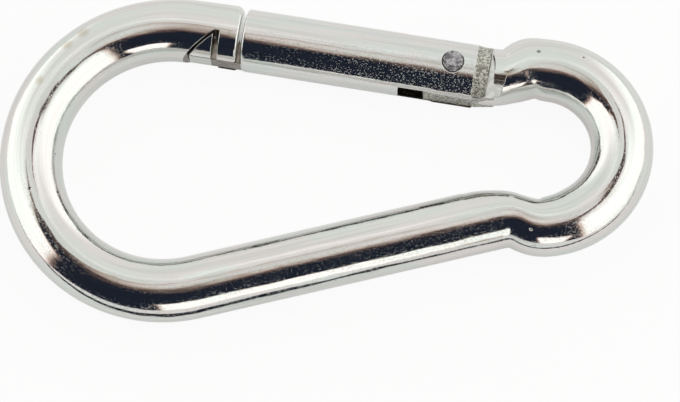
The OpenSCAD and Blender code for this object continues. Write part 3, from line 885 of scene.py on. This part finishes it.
def disc(x, y, inner_r, outer_r):
    """One outside a round spot in the room and none inside it, with a soft edge."""
    dx = add(tree, "ShaderNodeMath", room_x, x, operation="SUBTRACT")
    dy = add(tree, "ShaderNodeMath", room_y, y, operation="SUBTRACT")
    dx_2 = add(tree, "ShaderNodeMath", dx, dx, operation="MULTIPLY")
    dy_2 = add(tree, "ShaderNodeMath", dy, dy, operation="MULTIPLY")
    far_2 = add(tree, "ShaderNodeMath", dx_2, dy_2, operation="ADD")
    far = add(tree, "ShaderNodeMath", far_2, operation="SQRT")
    return add(tree, "ShaderNodeMapRange", far, inner_r, outer_r, interpolation_type="SMOOTHSTEP")


# A pale lamp overhead and the window are left out of the dark side.
past_lamp = disc(0.01, -0.01, 0.00, 0.25)
unlit_wedge = add(tree, "ShaderNodeMath", wedge, past_lamp, operation="MULTIPLY")
from_window = add(tree, "ShaderNodeMath", room_x, WINDOW_X, operation="SUBTRACT")
beside_window = add(tree, "ShaderNodeMath", from_window, operation="ABSOLUTE")
window_x = add(tree, "ShaderNodeMapRange", beside_window, *WINDOW_HALF, interpolation_type="SMOOTHSTEP")
window_y = add(tree, "ShaderNodeMapRange", room_y, *WINDOW_TOP, interpolation_type="SMOOTHSTEP")
window = add(tree, "ShaderNodeMath", window_x, window_y, operation="MULTIPLY")
no_window = add(tree, "ShaderNodeMath", 1.0, window, operation="SUBTRACT")
dark_side = add(tree, "ShaderNodeMath", unlit_wedge, no_window, operation="MULTIPLY")

# A hoop hangs overhead, and its sides show as a thin dark line on the bends.
in_rim = add(tree, "ShaderNodeMath", 1.0, disc(0.0, 0.0, *HOOP_RIM), operation="SUBTRACT")
hoop_ring = add(tree, "ShaderNodeMath", disc(0.0, 0.0, *HOOP_HOLE), in_rim, operation="MULTIPLY")
hoop_right = add(tree, "ShaderNodeMapRange", room_x, *HOOP_RIGHT, interpolation_type="SMOOTHSTEP")
hoop_left = add(tree, "ShaderNodeMapRange", room_x, *HOOP_LEFT, interpolation_type="SMOOTHSTEP")
hoop_sides = add(tree, "ShaderNodeMath", hoop_right, hoop_left, operation="MAXIMUM")
hoop = add(tree, "ShaderNodeMath", hoop_ring, hoop_sides, operation="MULTIPLY")
hoop_dark = add(tree, "ShaderNodeMath", hoop, HOOP_SHADE, operation="MULTIPLY")
with_hoop = add(tree, "ShaderNodeMath", dark_side, hoop_dark, operation="MAXIMUM")

# Below the horizon the room is dark on the photographer's side.
under = add(tree, "ShaderNodeMapRange", dir_z, *HORIZON, interpolation_type="SMOOTHSTEP")
near_side = add(tree, "ShaderNodeMapRange", dir_y, *NEAR_SIDE, interpolation_type="SMOOTHSTEP")
under_dark = add(tree, "ShaderNodeMath", under, near_side, operation="MULTIPLY")
dark = add(tree, "ShaderNodeMath", with_hoop, under_dark, operation="MAXIMUM")

# The middle of the back wall, the ceiling and all below the horizon are less bright.
back_y = add(tree, "ShaderNodeMapRange", room_y, *BACK_WALL_Y, interpolation_type="SMOOTHSTEP")
off_middle = add(tree, "ShaderNodeMath", room_x, operation="ABSOLUTE")
back_x = add(tree, "ShaderNodeMapRange", off_middle, *BACK_WALL_HALF, interpolation_type="SMOOTHSTEP")
back_wall = add(tree, "ShaderNodeMath", back_y, back_x, operation="MULTIPLY")
ceiling = add(tree, "ShaderNodeMath", 1.0, disc(0.0, 0.0, *CEILING), operation="SUBTRACT")
dim_above = add(tree, "ShaderNodeMath", back_wall, ceiling, operation="MAXIMUM")
dim = add(tree, "ShaderNodeMath", dim_above, under, operation="MAXIMUM")
level = add(tree, "ShaderNodeMath", dim, ROOM_DIMMING, ROOM_LEVEL, operation="MULTIPLY_ADD")
shade = add(tree, "ShaderNodeValToRGB", dark)
stops = shade.color_ramp.elements
stops[0].color = linear("#fffefb")
stops[1].color = linear("#1b202b")
for place, colour in ((0.2, "#efe9e3"), (0.45, "#cbb7aa"), (0.7, "#77625c")):
    stops.new(place).color = linear(colour)
layers = {0: 1.0, 6: shade, 7: level}
light = add(tree, "ShaderNodeMix", layers, data_type="RGBA", blend_type="MULTIPLY").outputs[2]
background = tree.nodes["Background"]
tree.links.new(light, background.inputs["Color"])
background.inputs["Strength"].default_value = 1.0
white = add(tree, "ShaderNodeBackground", {"Color": (1, 1, 1, 1), "Strength": 1.0})
camera_ray = add(tree, "ShaderNodeLightPath").outputs["Is Camera Ray"]
seen_room = add(tree, "ShaderNodeMixShader", camera_ray, background, white)
tree.links.new(seen_room.outputs[0], tree.nodes["World Output"].inputs["Surface"])

# The camera stands where the photograph was taken from, looking down on the hook.
CAMERA_PLACE = Vector((11.56, -150.05, 483.34)) * MM
CAMERA_TURN = np.radians([16.525, 1.633, -1.628])
CAMERA_LENS = 173.56
CAMERA_SENSOR = 36
camera_data = bpy.data.cameras.new("camera")
camera_data.lens = CAMERA_LENS
camera_data.sensor_width = CAMERA_SENSOR
camera_data.clip_start = 0.01
camera = bpy.data.objects.new("camera", camera_data)
camera.location = CAMERA_PLACE
camera.rotation_euler = CAMERA_TURN.tolist()
bpy.context.scene.collection.objects.link(camera)
bpy.context.scene.camera = camera
bpy.context.scene.view_settings.view_transform = "Standard"
